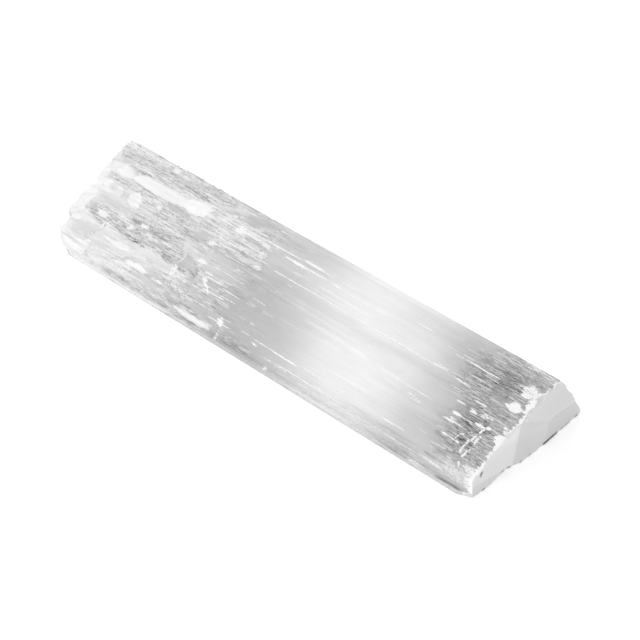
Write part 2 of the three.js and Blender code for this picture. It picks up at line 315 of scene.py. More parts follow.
# White bruises: x, over, half length, half width, how deep the bruise goes, how solid it is.
BRUISES = [
    (62.6, 9, 1.5, 0.75, 0.2, 1),
    (63.2, 7.2, 1.8, 0.6, 0.15, 1),
    (62.8, 7.8, 2.3, 1.8, 0.1, 0.58),
    (62.3, 13, 1.6, 1.35, 0.25, 1),
    (59.4, 1.6, 2.2, 0.5, 0.05, 0.5),
    (63.2, 2, 2, 0.4, 0.05, 0.45),
    (55.6, 18.4, 1.5, 0.46, 0.1, 0.85),
    (53, 20.8, 1.4, 0.34, 0.1, 1),
    (52.9, 22.8, 1.5, 0.8, 0.1, 0.8),
    (58.9, 18, 1.8, 0.85, 0.1, 0.6),
    (59.3, 20.5, 1.1, 0.5, 0.1, 0.8),
    (61.2, 20.1, 0.7, 0.4, 0.1, 1),
    (59, 23, 1.5, 0.5, 0, 0.4),
    (64.2, 18.1, 0.7, 0.3, 0.1, 1),
    (63.2, 29.8, 2.1, 0.8, 0.1, 0.6),
    (64.2, 32.2, 1.4, 2.6, 0.05, 0.52),
    (60.5, 32.6, 5, 2, 0, 0.36),
    (50.8, 35.5, 2.6, 0.5, 0, 0.5),
    (-10.9, 14.5, 1.7, 1, 0.15, 0.6),
    (-13.2, 14.9, 2.2, 0.4, 0.1, 0.5),
    (-11.6, 11.5, 1.7, 1.3, 0.1, 0.48),
    (-12.5, 8.8, 1.8, 0.5, 0.1, 0.6),
    (-21.1, 8.8, 1.9, 0.85, 0.08, 0.95),
    (-16, 8.6, 3.6, 0.6, 0.05, 0.45),
    (-25.2, 5.8, 0.7, 0.5, 0.05, 0.8),
    (-25.4, 3.9, 2.6, 0.8, 0.08, 0.42),
    (-15, 4.6, 2.8, 0.8, 0, 0.34),
    (-7.8, 2.8, 1.4, 0.5, 0, 0.4),
    (-33.4, 9.2, 3, 1.3, 0.05, 0.6),
    (-33.6, 6.8, 2.6, 0.8, 0.05, 0.55),
    (-36.8, 8.4, 2.4, 0.8, 0.05, 0.6),
    (-48, 2.6, 1.3, 0.9, 0.05, 0.85),
    (-46.7, 5.9, 1.1, 0.7, 0, 0.6),
    (-46.5, 5, 3.2, 1.6, 0, 0.32),
    (-24.6, 14.9, 1.2, 0.7, 0.1, 0.8),
    (-21.6, 14.3, 2.4, 0.5, 0.1, 0.5),
    (-53.8, 22.5, 1.8, 1.1, -0.15, 1),
    (-41.8, 20.2, 1.4, 0.7, -0.1, 0.85),
    (-44.6, 22, 1.2, 0.6, -0.1, 0.9),
    (-47.8, 20.7, 2.2, 0.5, 0, 0.6),
    (-35.4, 24.1, 1.6, 0.4, 0, 0.6),
    (-42.8, 14.1, 1.2, 0.5, -0.1, 0.9),
    (-22.4, 20.4, 1.6, 0.6, 0.15, 1),
    (-18.2, 24.2, 0.9, 0.7, 0.15, 0.95),
    (-17, 25.1, 1.2, 0.35, 0.1, 0.9),
    (-27.1, 22.9, 0.7, 2.4, 0, 0.5),
    (-26.7, 26, 0.9, 1.6, 0.05, 0.75),
    (-24.4, 25.9, 2, 1.3, 0, 0.45),
    (-20, 29.4, 7, 0.4, 0, 0.42),
    (-28.2, 30, 1, 0.45, 0.1, 0.95),
    (-35.6, 29.5, 2.8, 0.7, 0, 0.75),
    (-34, 27.9, 1.8, 0.8, 0, 0.4),
    (-8.1, 30.4, 0.9, 0.9, 0.15, 0.95),
    (-14.2, 33.7, 3, 0.5, 0, 0.7),
    (7, 35, 0.8, 1, 0.1, 0.7),
    (2.5, 30.6, 0.6, 0.25, 0, 0.9),
    (-1, 27.1, 1.3, 0.26, 0, 0.8),
    (31.1, 22.2, 0.8, 0.3, 0, 0.7),
    (43.8, 22.9, 0.9, 0.35, 0, 0.7),
    (44.3, 6.6, 0.8, 0.3, 0, 0.6),
    (41.3, 4.6, 0.8, 0.3, 0, 0.5),
    (12, 7.4, 3, 0.6, 0, 0.34),
]

# White splits along the fibres: x and over of both ends, half width, strength.
SPLITS = [
    (-14.5, 7.55, -1.5, 7.4, 0.17, 0.95),
    (-3, 7.15, 4.5, 7.1, 0.34, 1.2),
    (4.2, 7.35, 7.2, 7.4, 0.16, 0.8),
    (-7.7, 8.8, 7, 8.75, 0.17, 0.95),
    (-5, 8.8, 1.4, 8.8, 0.3, 1.15),
    (-2, 9.4, 2.4, 9.3, 0.18, 0.6),
    (6.4, 8.9, 11.6, 8.95, 0.24, 0.9),
    (11, 9, 20, 9, 0.22, 0.8),
    (-7, 11, 4.5, 10.9, 0.1, 0.5),
    (4.5, 10.9, 19, 11.1, 0.16, 0.6),
    (-7.5, 13.1, 16, 13.1, 0.14, 0.95),
    (13, 13.2, 38, 13.2, 0.15, 0.8),
    (34, 13.4, 46, 13.1, 0.17, 0.75),
    (45.5, 13.6, 52, 13.6, 0.14, 0.9),
    (40.5, 12.8, 46, 12.8, 0.12, 0.7),
    (22, 11.4, 30, 11.4, 0.14, 0.6),
    (33.6, 20.5, 38.2, 20.8, 0.16, 0.75),
    (38, 20.9, 48, 20.9, 0.14, 0.75),
    (40.5, 22.2, 44, 22.3, 0.22, 0.55),
    (25.8, 26.9, 31, 27.1, 0.12, 0.6),
    (29.8, 6.6, 36, 6.6, 0.15, 0.95),
    (42.5, 8.8, 46.5, 8.8, 0.14, 0.6),
    (45.4, 8.7, 57, 8.9, 0.13, 0.9),
    (48.5, 7.3, 56.5, 7.4, 0.1, 0.7),
    (50, 7.9, 56, 8, 0.1, 0.6),
    (48, 11.2, 56.5, 11.2, 0.12, 0.75),
    (48, 16.1, 54.5, 16, 0.1, 0.6),
    (53.5, 15.9, 58, 15.9, 0.2, 0.9),
    (50, 18.1, 54.6, 18.1, 0.13, 0.85),
    (53, 20.9, 61, 20.8, 0.12, 0.75),
    (53.2, 22.7, 57, 22.6, 0.14, 0.7),
    (52.5, 25.9, 58.9, 26.15, 0.14, 1),
    (46.5, 27.8, 51.5, 27.8, 0.12, 0.5),
    (0, 29.8, 10, 29.9, 0.16, 0.7),
    (7, 30, 16, 30, 0.2, 0.85),
    (15, 29.6, 24.5, 29.6, 0.17, 0.6),
    (38.5, 29.9, 47, 29.9, 0.14, 0.75),
    (9, 32.1, 30, 32.1, 0.16, 0.8),
    (5, 32.4, 14, 32.3, 0.3, 0.5),
    (36.5, 33, 50, 33.1, 0.18, 0.5),
    (51.5, 32.6, 58.5, 33.4, 0.35, 0.6),
    (41, 35, 52, 35, 0.12, 0.5),
    (55, 0.9, 65.5, 1.6, 0.16, 0.8),
    (-35, 6.5, -13, 6.3, 0.18, 0.9),
    (-34, 7.6, -12, 7.8, 0.2, 0.7),
    (-30, 8.6, -13, 8.8, 0.14, 0.9),
    (-40, 10.4, -9.6, 10.9, 0.12, 0.8),
    (-31, 11.7, -16, 11.9, 0.13, 0.7),
    (-32, 12.7, -19, 12.4, 0.1, 0.7),
    (-19.5, 12.3, -11.5, 12.8, 0.12, 0.7),
    (-15, 17.6, -10, 17.6, 0.16, 0.6),
    (-21.5, 20, -8, 20, 0.14, 0.75),
    (-26, 18.2, -18, 18.3, 0.12, 0.6),
    (-20.5, 22, -17, 22, 0.14, 0.7),
    (-20, 23, -13, 23, 0.16, 0.95),
    (-13.2, 23.6, -6.2, 23.7, 0.12, 0.75),
    (-18, 24.8, -12, 24.8, 0.13, 0.7),
    (-12.8, 25.2, -6.6, 25.2, 0.14, 0.8),
    (-14, 21.3, -7, 21.4, 0.1, 0.5),
    (-6, 21.8, 0, 21.8, 0.12, 0.6),
    (-5, 17.9, 9, 17.9, 0.12, 0.45),
    (-2, 23.8, 8, 23.9, 0.1, 0.4),
    (-65.5, 1.6, -53.5, 2.3, 0.22, 1.1),
    (-64.5, 2.4, -58, 3.2, 0.14, 0.8),
    (-55, 20.3, -49, 20.5, 0.12, 0.6),
    (-42.5, 17.5, -37.5, 17.6, 0.15, 0.9),
    (-60, 24.6, -52, 26, 0.1, 0.5),
    (-50, 29.4, -41, 29.2, 0.13, 0.6),
    (-44, 28.2, -30, 27.2, 0.14, 0.5),
    (-46, 32.2, -36, 32, 0.16, 0.6),
    (-44, 33.2, -37, 33, 0.14, 0.5),
    (16, 35.5, 22, 35.5, 0.2, 0.5),
    (26, 35.6, 34, 35.6, 0.2, 0.5),
    (-11, 35.9, 0, 35.9, 0.3, 0.4),
]

# Thin dark lines along the fibres, partly painted shade in gaps and under the steps of split
# plates, and soft pale threads: x and over of both ends, half width, change of tone.
PALE_THREADS_AND_GAP_SHADE = [
    # painted shadow in the gap between the front wall and the ledge of its foot
    (55.6, 35.5, 64.2, 35.4, 0.3, -0.42),
    (51.4, 31.4, 58.2, 31.7, 0.17, -0.3),
    (29, 31.1, 51, 31.3, 0.15, -0.13),
    (38, 35.5, 51.5, 35.6, 0.15, -0.16),
    (40, 34.4, 50, 34.4, 0.12, -0.1),
    (40, 32.4, 52, 32.4, 0.12, -0.08),
    # painted shadow under the raised crest plate
    (-59.5, 8, -35, 8.1, 0.2, -0.08),
    # painted shadow along the step below the dark lath
    (-45.8, 24.2, -36.4, 24.9, 0.3, -0.2),
    (-41, 23.3, -34, 23.4, 0.15, -0.14),
    (-59.5, 24.8, -49.2, 25.2, 0.15, -0.14),
    # painted shade in the gaps of the dark lath
    (-46.6, 19.6, -42.8, 19.8, 0.25, -0.08),
    (-43.4, 18.4, -36, 18.5, 0.6, -0.05),
    (-9, 7.9, -2, 7.8, 0.15, -0.08),
    (-2, 8, 7, 7.9, 0.22, -0.08),
    (-6, 16.4, 0, 16.5, 0.14, -0.1),
    (-7, 17.3, -1, 17.3, 0.12, -0.1),
    (-5, 18.6, 3, 18.6, 0.12, -0.08),
    (-30, 35, -23, 35.1, 0.3, -0.14),
    (-7.6, 34.6, 3.4, 34.7, 0.25, -0.06),
    (8, 19.9, 28, 20, 0.4, 0.08),
    (20.5, 20.6, 28.8, 20.7, 0.45, 0.05),
    (31, 20.6, 39, 20.9, 0.4, 0.06),
    (4, 18.2, 24, 18.4, 0.3, 0.04),
    (10, 22, 22, 22.2, 0.5, 0.05),
    (-2, 16.4, 20, 16.6, 0.2, 0.04),
    (0, 17.9, 24, 18.1, 0.2, 0.05),
    (3, 22.6, 18, 22.4, 0.18, 0.04),
    (5, 24.9, 16, 24.8, 0.18, 0.03),
    (22, 27, 34, 26.9, 0.3, 0.05),
    (4.6, 11, 22, 11.1, 0.35, 0.05),
    (2, 12.3, 14, 12.2, 0.25, 0.05),
    (9, 7.2, 14, 7.2, 0.25, 0.06),
    (20.5, 9, 25, 9, 0.3, 0.05),
]

# Cracks that run across the fibres: a few points each, as (x, over).
CRACKS = [
    [(60.4, 20.7), (60.1, 22.8), (60, 24.1)],
    [(60.9, 22.2), (60.9, 24.6)],
    [(59.4, 24.7), (59.4, 25.7), (59.1, 26.8), (59.3, 27.6)],
    [(60.8, 26.1), (60.5, 27.1), (60.2, 28.2)],
    [(57.6, 23.9), (56.9, 24.3), (56.6, 25.6)],
    [(60.2, 29.3), (60.6, 30.3)],
    [(-7.9, 30.8), (-7.6, 31.8), (-8.2, 33.4), (-8.9, 35.6)],
    [(-18.6, 24.2), (-17, 25), (-15.3, 26.3)],
    [(-51.4, 26), (-50.2, 23.4), (-49.1, 23.8), (-49.7, 25.2)],
]

# Soft darker and lighter clouds in the body: x, over, half length, half width, change of tone. The
# lighter clouds at x 17 to 29 are painted highlight, part of the bright band across the fibres,
# and a few darker ones trim that band with painted shade.
CLOUDS_AND_PAINTED_SHEEN = [
    # painted highlight: the bright band across the fibres
    (19, 8, 23, 30, 0.1),
    (17, 3.5, 16, 7, 0.09),
    # painted shade that dims the gloss along the crest's back edge
    (19, 1.5, 15, 1.1, -0.06),
    (19, 6.6, 20, 0.8, 0.02),
    (10, 24, 9, 9, -0.04),
    (24.5, 24, 7, 6, -0.04),
    (-42, 26, 7, 1.5, -0.04),
    (-49, 22, 3, 2, 0.05),
    # painted highlight: the lower end of the bright band
    (29, 28, 16, 12, 0.11),
    (-2, 25, 20, 19, -0.135),
    # lighter, to soften the painted shade beside the little peak
    (-30.6, 24.3, 3, 1.2, 0.12),
    # painted shade that narrows the bright band near the crest
    (41, 5, 8, 8, -0.06),
    (29, 10, 8, 5, -0.03),
    (57, 9.5, 17, 16, -0.18),
    (58.5, 25, 12.5, 11, -0.2),
    (56.5, 9, 6.5, 6, -0.12),
    (57.5, 20.5, 6, 4.5, -0.1),
    (57.9, 25.1, 1.3, 0.6, -0.28),
    (60.4, 25.2, 0.8, 0.6, -0.26),
    (60, 31.4, 7, 2.6, 0.12),
    (58, 17.5, 7, 3, -0.05),
    (54.6, 33, 3.6, 0.8, 0.12),
    (50.8, 35.4, 2.6, 0.5, 0.12),
    (20, 35.7, 14, 0.4, 0.1),
    (-24, 10.5, 14, 4, 0.04),
    (-24, 26, 14, 7, -0.03),
    (-7.8, 18.6, 2.6, 2.4, -0.06),
    (-10, 22, 3, 1.2, -0.04),
    (46, 16, 8, 40, -0.08),
    (-56, 13.2, 7, 0.5, -0.12),
    (-45, 2.2, 12, 2.4, 0.07),
    (-51.6, 33.3, 0.5, 1.4, -0.2),
    (-49.2, 34.9, 0.7, 0.9, -0.16),
    (-54.4, 34, 0.6, 1.4, -0.1),
    (-52, 33, 24, 5, 0.1),
    (-2, 33.4, 6, 1.9, -0.08),
    (27, 34.2, 20, 2.6, 0.08),
    (-34, 36.2, 10, 0.6, 0.14),
]

# Worn places where the fine fibres and crumbs show: x, over, half length, half width.
WORN_PLACES = [(60, 9, 17, 16), (61, 24, 12, 11), (-3, 33.6, 8, 2.2)]

# Painted shadow in the gaps under the snapped end's foot: from and to across the wand, how dark.
FOOT_GAP_SHADOWS = [
    (4.9, 10.3, 0.6), (11.3, 12.4, 0.5), (12.4, 14.9, 0.3), (16.3, 17.9, 0.5), (-7, -5.6, 0.6),
    (-8.7, -7.6, 0.4), (-14.6, -13.5, 0.5), (-2.9, -2.1, 0.25), (0.1, 1, 0.25),
]

# Small white spots on the snapped end: across, up, size.
SNAP_SPOTS = [
    (-0.8, 10.4, 0.42), (1.3, 10.7, 0.3), (0.1, 11.2, 0.34), (3.8, 10.9, 0.3), (5.2, 12.6, 0.3),
]

# How far the white bruising of the snapped end's rim reaches back, as (over, mm).
RIM_WHITE = [
    (0, 0.2), (6.6, 0.3), (8, 0.6), (8.9, 1.2), (10.9, 1.4), (11.8, 0.8), (14, 0.6), (16.4, 0.4),
    (18.7, 0.6), (19.6, 0.4), (20.3, 1.4), (21.2, 1.7), (22.2, 0.9), (24.7, 0.3), (28, 0.5),
    (29.6, 0.9), (31.2, 0.8), (33.8, 0.8), (34.8, 0.8), (36, 0.6),
]


def nearest_edge(outline, x, over):
    """Distance from each place to an open line of points."""
    nearest = np.full_like(x, 1e9)
    for (x0, o0), (x1, o1) in zip(outline, outline[1:]):
        length = (x1 - x0) ** 2 + (o1 - o0) ** 2
        share = np.clip(((x - x0) * (x1 - x0) + (over - o0) * (o1 - o0)) / length, 0, 1)
        away = np.hypot(x - x0 - share * (x1 - x0), over - o0 - share * (o1 - o0))
        nearest = np.minimum(nearest, away)
    return nearest


def inside_by(outline, x, over):
    """How far each place lies inside a closed outline; negative outside."""
    closed = outline + outline[:1]
    inside = np.zeros(x.shape, bool)
    for (x0, o0), (x1, o1) in zip(closed, closed[1:]):
        if o0 != o1:
            crosses = (o0 > over) != (o1 > over)
            inside ^= crosses & (x < x0 + (over - o0) * (x1 - x0) / (o1 - o0))
    away = nearest_edge(closed, x, over)
    return np.where(inside, away, -away)


def plates(x, over):
    """For each plate: its share of each place, its broken edge and the ring just outside it where
    painted shade falls.
    """
    ragged = 0.3 * noise(x / 1.6, over / 0.4, 13) + 0.15 * noise(x / 0.8, over / 0.25, 15)
    found = []
    for outline, *_ in PLATES:
        depth = inside_by(outline, x, over) + ragged
        share = smooth(-0.1, 0.1, depth)
        edge = smooth(0.38, 0.08, np.abs(depth - 0.1))
        groove_shade = smooth(0.4, 0.1, np.abs(depth + 0.25))
        found.append((share, edge, groove_shade))
    return found


def drawn(line, x, over):
    """Strength at each place of a thin line along the fibres."""
    start, place, end, final, width, strength = line
    fade_in = min(2, 0.25 * (end - start))
    along = smooth(start, start + fade_in, x) * smooth(end, end - fade_in, x)
    middle = place + (final - place) * (x - start) / (end - start)
    width = width * (1 + 0.25 * noise(x / 1.9, place, 25))
    return strength * along * smooth(width * 1.5, width * 0.4, np.abs(over - middle))


def chalk_of(x, over, found):
    """White bruising, 0 to 1, from the bruises, splits, cracks and broken edges."""
    ragged = 0.3 * fractal(x / 1.6, over / 0.6, 11) + 0.5 * noise(x / 2.4, over / 0.24, 12)
    chalk = np.zeros_like(x)
    for px, po, length, width, _, solid in BRUISES:
        reach = np.hypot((x - px) / length, (over - po) / width) + ragged
        chalk = np.maximum(chalk, solid * smooth(1.25, 0.55, reach))
    for split in SPLITS:
        faint = 0.95 + 0.3 * noise(x / 2.6, split[1], 23)
        chalk = np.maximum(chalk, faint * drawn(split, x, over))
    for crack in CRACKS:
        gap = nearest_edge(crack, x, over) + 0.06 * noise(x / 0.7, over / 0.4, 29)
        faint = 1.0 + 0.4 * noise(x / 1.1, over / 0.8, 30)
        chalk = np.maximum(chalk, faint * smooth(0.27, 0.1, gap))
    for (_, _, _, _, white), (_, edge, _) in zip(PLATES, found):
        patchy = smooth(-0.35, 0.35, noise(x / 3.5, over / 0.9, 31))
        chalk = np.maximum(chalk, white * edge * patchy)
    return np.maximum(chalk, unseen(over) * smooth(0.5, 0.8, fractal(x / 7, over / 0.8, 33)))


def unseen(over):
    """The back and the underside, which carry marks of the same kind at random."""
    return smooth(0.5, -1.5, over)


def marks_relief(x, over, found):
    """Height of the plates, bruises, splits and cracks, in mm."""
    relief = np.zeros_like(x)
    for (_, lift, _, _, _), (share, _, _) in zip(PLATES, found):
        relief += lift * share
    for px, po, length, width, depth, _ in BRUISES:
        reach = np.hypot((x - px) / length, (over - po) / width)
        reach = reach + 0.3 * fractal(x / 1.3, over / 0.5, 11)
        relief -= depth * smooth(1.1, 0.6, reach)
    for crack in CRACKS:
        relief -= 0.2 * smooth(0.4, 0.1, nearest_edge(crack, x, over))
    return relief


def tone_of(x, over, found):
    """Broad lightness of the body before the fibres are drawn on it, 0 to 1, with a painted
    highlight in part of the bright band, and painted shade around the plates and in the dark gaps.
    """
    tone = BODY_TONE + 0.02 * fractal(x / 24, over / 5, 41) + 0.16 * smooth(-5, -52, x)
    for (_, lift, own, _, _), (share, _, groove_shade) in zip(PLATES, found):
        tone = tone + share * (own + 0.05 * fractal(x / 6, over / 1.5, 45) - tone)
        # painted shade just outside each raised or sunken plate
        tone = tone - 0.6 * abs(lift) * groove_shade * smooth(-0.5, 0.4, noise(x / 4, over, 44))
    # clouds of tone, with the painted highlight of the bright band
    for px, po, length, width, change in CLOUDS_AND_PAINTED_SHEEN:
        reach = np.hypot((x - px) / length, (over - po) / width)
        tone = tone + change * smooth(1.1, 0.15, reach + 0.08 * fractal(x / 5, over / 1.2, 43))
    for thread in PALE_THREADS_AND_GAP_SHADE:
        tone = tone + drawn(thread, x, over) * (0.85 + 0.3 * noise(x / 1.4, over / 0.3, 50))
    return np.minimum(tone + 0.12 * smooth(-55, -64, x + 1.5 * noise(x / 3, over / 1.2, 46)), 0.9)


def far_weight(x):
    """How much the surface belongs to the rough, splintered half."""
    return smooth(10, -20, x)


def grit_of(x, over, found):
    """How strongly the fine fibres and crumbs show."""
    grit = 0.06 + 0.5 * far_weight(x) + 0.12 * smooth(0, 0.8, noise(x / 9, over / 1.3, 47))
    grit = grit * smooth(-0.7, 0.3, fractal(x / 8, over / 1.6, 49) + 0.4 * unseen(over))
    grit = np.maximum(grit, 0.5 * unseen(over) * smooth(-0.3, 0.5, fractal(x / 25, over / 3, 48)))
    for px, po, length, width in WORN_PLACES:
        reach = np.hypot((x - px) / length, (over - po) / width)
        zone = smooth(1.0, 0.45, reach + 0.16 * fractal(x / 4, over, 51))
        grit = np.maximum(grit, zone)
    wall = 0.5 * smooth(31, 31.6, over) * smooth(2, 14, x)
    grit = np.maximum(grit, wall * (0.75 + 0.35 * noise(x / 7, over / 0.8, 53)))
    for (_, _, _, own, _), (share, _, _) in zip(PLATES, found):
        grit = grit + share * (own - grit)
    return grit


def terraces(x, over):
    """Split plates as steps of height, with ragged ends across the fibres."""
    steps = 2.6                         # from level 0 to level 1
    level = fractal(x / 17, over / 2.4, 51) + 0.22 * noise(x / 2.4, over / 0.5, 57)
    return np.round(level * steps) / steps


def body_relief(x, over, grit):
    """Height of the fibres and small plates, in mm."""
    fibres = 0.02 * noise(x / 15, over / 0.42, 61) + 0.01 * noise(x / 32, over / 1.25, 67)
    steps = terraces(x, over) * (0.04 + 0.14 * far_weight(x)) * smooth(0.05, 0.4, grit)
    steps = steps * (1 - 0.7 * smooth(31.2, 32.2, over))
    crumbs = 0.09 * fractal(x / 1.8, over / 0.45, 71) * grit
    return fibres * (0.5 + grit) + steps + crumbs


# ---- the skin

def eased(ring):
    """The ring with the facets over its smooth half rounded into each other."""
    reach = 10                          # in lines, to either side
    weights = np.hanning(2 * reach + 3)[1:-1]
    heights = ring[TOP, :, 2]
    wider = np.pad(heights, ((reach, reach), (0, 0)), mode="reflect", reflect_type="odd")
    soft = sum(weight * wider[k:k + len(heights)] for k, weight in enumerate(weights))
    inward = CREST_EDGE - ring[TOP, :, 1]
    share = smooth(-12, 6, ring[TOP, :, 0]) * smooth(1.5, 3.5, inward)
    made = ring.copy()
    made[TOP, :, 2] += share * (soft / weights.sum() - heights)
    return made


def around(section):
    """Distance from the back edge of the crest to each line, over the top and on round."""
    steps = np.hypot(*np.diff(section, axis=0).T)
    distance = np.concatenate([[0], np.cumsum(steps)])
    return distance - distance[TOP_FIRST]


def outward(section):
    """The plain section's outward direction at each line, softened over its neighbours."""
    tangent = sum(np.roll(section, -n, axis=0) - np.roll(section, n, axis=0) for n in (2, 4, 6))
    tangent[UNDER] = (1, 0)
    tangent[TOP_LAST:] = (0, -1)
    normal = np.stack([tangent[:, 1], -tangent[:, 0]], axis=-1)
    return normal / np.linalg.norm(normal, axis=1, keepdims=True)


def rim_teeth(over):
    """How far the snapped end's bruised rim is bitten back, in mm."""
    small = 0.55 * np.abs(noise(over / 0.75, 0 * over, 81))
    large = 0.5 * np.abs(noise(over / 2.4, 0 * over, 83))
    return (small + large) * smooth(0.5, 3, over) * smooth(33, 30, over)


def far_teeth(y, z):
    """How far the fibres of the splintered end stand short, in mm."""
    return 0.1 + 0.45 * fractal(y / 0.8, z / 2.2, 91) + 0.25 * noise(y / 0.25, z / 1.1, 97)


def roughened(ring, section, far, near):
    """The ring with its fibres, plates, bruises and rims, and the marks each point carries."""
    x = ring[:, :, 0]
    over = around(section)[:, None] + 0 * x
    rim = near[:, None] - x
    tail = x - far[:, None]
    found = plates(x, over)
    grit = grit_of(x, over, found)
    relief = body_relief(x, over, grit) + marks_relief(x, over, found)
    crumble = smooth(1.1, 0, rim) * 0.25 + smooth(1.6, 0, tail) * 0.4
    relief -= crumble * (0.6 + 0.4 * noise(x / 0.8, over / 0.5, 73))
    relief += 0.13 * crest_fringe(over) * noise(x / 1.1, over / 0.7, 87)
    relief[UNDER] = np.minimum(relief[UNDER] * 0.5 - 0.06, 0)
    ends = smooth(0, 0.3, rim) * smooth(0, 0.3, tail)
    relief *= 0.35 + 0.65 * ends
    moved = ring.copy()
    moved[:, :, 1:] += outward(section)[:, None, :] * relief[:, :, None]
    moved[:, :, 2] = np.maximum(moved[:, :, 2], 0)
    chalk = np.maximum(chalk_of(x, over, found), end_chalk(x, over, rim, tail))
    marks = {"chalk": chalk, "tone": tone_of(x, over, found), "grit": grit,
             "rough": far_weight(x), "snap": 0 * x, "over": over}
    # painted shadow in the gaps under the snapped end's foot, on the underside's last row
    gap = foot_gap_shadow(moved[UNDER, -1, 1])
    marks["tone"][UNDER, -1] -= gap
    marks["chalk"][UNDER, -1] *= smooth(0.2, 0, gap)
    return moved, marks


def crest_fringe(over):
    """The frayed fibres of the crest's back edge, 0 to 1."""
    return smooth(-1.3, -0.3, over) * smooth(1.0, 0.3, over)


def end_chalk(x, over, rim, tail):
    """The white bruising along the rims of both ends."""
    places, reaches = zip(*RIM_WHITE)
    reach = np.interp(over, places, reaches, left=0.3)
    crest = crest_fringe(over + 0.3 * noise(x / 5, over, 75))
    crest = crest * (0.55 + 0.4 * noise(x / 1.2, over, 89))
    ragged = rim + 0.5 * noise(x / 2.2, over / 0.4, 79) + 0.3 * noise(x / 0.8, over / 0.25, 77)
    white_rim = smooth(reach + 0.15, reach - 0.25, ragged)
    white_tail = smooth(2.4, 0.3, tail + 1.4 * fractal(x / 3, over / 0.9, 85))
    return np.maximum(crest, np.maximum(white_rim, 0.35 * white_tail))


def loop_index(i, j):
    """The line of the loop at an edge place of an end's grid."""
    if j == 0:
        return i
    if i == ACROSS:
        return ACROSS + j
    if j == UP:
        return TOP_LAST - i
    return (TOP_LAST + UP - j) % LINES


def cap_grid(rim):
    """Places across and up that fill an end from its rim, in rows that lie closest at the foot.
    The foot and the top are joined by straight columns, which only bend to follow the front and
    back sides close to them."""
    under = rim[UNDER]
    back = rim[ACROSS:TOP_FIRST + 1]
    top = rim[TOP][::-1]
    front = np.concatenate([rim[TOP_LAST:], rim[:1]])[::-1]
    u = np.linspace(0, 1, ACROSS + 1)[:, None, None]
    foot_rows = [0, 0.025, 0.055, 0.1, 0.125, 0.155]
    rows_above = 1 - 0.8 * np.linspace(1, 0, UP + 1 - len(foot_rows)) ** 1.15
    v = np.concatenate([foot_rows, rows_above])[None, :, None]
    columns = (1 - v) * under[:, None] + v * top[:, None]
    return (columns + (1 - u) ** 8 * (front - columns[0])[None]
            + u ** 8 * (back - columns[-1])[None])


def pit(y, z):
    """The small pit by the front corner of the snapped end, 0 to 1."""
    y, z = y + 14.6, z - 4.65
    return smooth(1.25, 0.7, np.hypot((y - 0.6 * z) / 0.42, (z + 0.6 * y) / 0.68))


def foot_gap_shadow(y):
    """How dark the painted shadow in the gaps under the snapped end's foot is, in short lengths.
    """
    return sum(dark * smooth(a, a + 0.3, y) * smooth(b, b - 0.3, y) for a, b, dark in FOOT_GAP_SHADOWS)


def snap_marks(y, z):
    """The snapped end's lightness, with painted shade by facet: lighter on the left facet and
    towards its top, darker on the heel, and darker low on the left facet; with its dark pit,
    painted shadow in the gaps under its foot, and its small white spots.
    """
    from_peak = y - NOTCH_Y
    notch = np.maximum(NOTCH_HEIGHT - np.maximum(0.185 * from_peak, -0.26 * from_peak), 0)
    left = smooth(0.3, -0.3, y + 5.5 - 0.25 * z)
    beside = y - 6.2                    # from where the three facets meet
    upper = smooth(-0.15, 0.15, np.minimum(z - 5.8 + 0.63 * beside, z - 5.75 + 0.08 * beside))
    heel = (1 - upper) * smooth(6.3, 6.7, y)
    foot = smooth(2.7, 2.0, z + 0.12 * (y + 14)) * smooth(-6, -9, y)
    # painted shade: each facet lighter or darker as the light falls on it, and darker low on the
    # left facet
    tone = 0.61 + 0.11 * left + 0.06 * (1 - left) * upper - 0.05 * heel - 0.09 * foot * left
    tone = tone + 0.03 * smooth(6, 11, z) * left + 0.015 * fractal(y / 6, z / 4, 105)
    # painted shadow in the gaps under the foot
    gap = foot_gap_shadow(y) * smooth(0.48, 0.36, z - notch) * smooth(-0.35, -0.15, z - notch)
    tone = np.maximum(tone - pit(y, z) - gap, 0.02)
    spots = np.zeros_like(y)
    for sy, sz, size in SNAP_SPOTS:
        away = np.hypot(y - sy, z - sz) / size
        spots = np.maximum(spots, 0.65 * smooth(1.2, 0.4, away))
    return tone, spots


def cap(rim, side):
    """The inner points of the splintered end (side -1) or the snapped end (side 1), with marks."""
    inner = cap_grid(rim)[1:-1, 1:-1]
    y, z = inner[:, :, 0], inner[:, :, 1]
    if side > 0:
        x = np.array([[end_of_solid(a, b, side) for a, b in row] for row in inner])
        x = x - 0.05 * (1 + fractal(y / 5, z / 3, 101)) - 0.4 * pit(y, z)
        depth = rim_depth(inner, rim)
        chalk = 0.5 * smooth(0.4, 0.05, depth + 0.2 * noise(y / 0.6, z / 0.6, 103))
        tone, spots = snap_marks(y, z)
        chalk = np.maximum(chalk, spots)
        grit, rough, snap = 0 * x, 0 * x, 1 + 0 * x
    else:
        x = np.array([[broken_end(a, b) for a, b in row] for row in inner]) + far_teeth(y, z)
        chalk = 0.3 + 0.5 * smooth(-0.2, 0.6, fractal(y / 1.4, z / 3, 107))
        tone = 0.84 + 0.06 * fractal(y / 2, z / 4, 109)
        grit, rough, snap = 0.25 + 0 * x, 1 + 0 * x, 0 * x
    marks = {"chalk": chalk, "tone": tone, "grit": grit, "rough": rough, "snap": snap, "over": y}
    return np.stack([x, y, z], axis=-1), marks


def rim_depth(inner, rim):
    """How far each inner place lies below the sloping top of the end."""
    top = rim[TOP][::-1]
    return np.interp(inner[:, :, 0], top[:, 0], top[:, 1]) - inner[:, :, 1]


